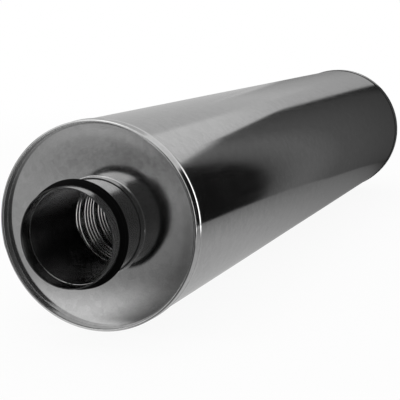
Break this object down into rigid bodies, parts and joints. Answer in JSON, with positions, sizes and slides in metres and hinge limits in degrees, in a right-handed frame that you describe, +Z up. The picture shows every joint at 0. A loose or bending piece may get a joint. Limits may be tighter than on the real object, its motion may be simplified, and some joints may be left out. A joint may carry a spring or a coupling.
{
  "type": "round duct sound attenuator",
  "caption": "Straight round duct silencer: sheet casing with recessed end caps, gasketed spigots and a ribbed bore wrapped in absorber, to quieten air in ventilation duct.",
  "frame": {"origin": "middle of the axis, half way between the two spigot mouths", "axes": "+Y along the axis from inlet to outlet, +Z up, +X to the right when looking into the inlet"},
  "size_m": [0.2076, 1.122, 0.2076],
  "materials": {
    "casing_sheet": "bright galvanised sheet",
    "cap_sheet": "bright galvanised sheet, pressed",
    "spigot_sheet": "bright galvanised sheet, rolled",
    "gasket_rubber": "matt black rubber",
    "liner_sheet": "thin ribbed sheet, perforated",
    "fleece": "thin black fibre fleece",
    "mineral_wool": "loose mineral fibre"
  },
  "bodies": {
    "root": {"outer_casing": "casing_sheet", "inlet_end_cap": "cap_sheet", "outlet_end_cap": "cap_sheet", "inlet_spigot": "spigot_sheet", "outlet_spigot": "spigot_sheet", "inlet_gasket": "gasket_rubber", "outlet_gasket": "gasket_rubber", "ribbed_liner": "liner_sheet", "fleece_wrap": "fleece", "mineral_wool": "mineral_wool"}
  },
  "joints": []
}
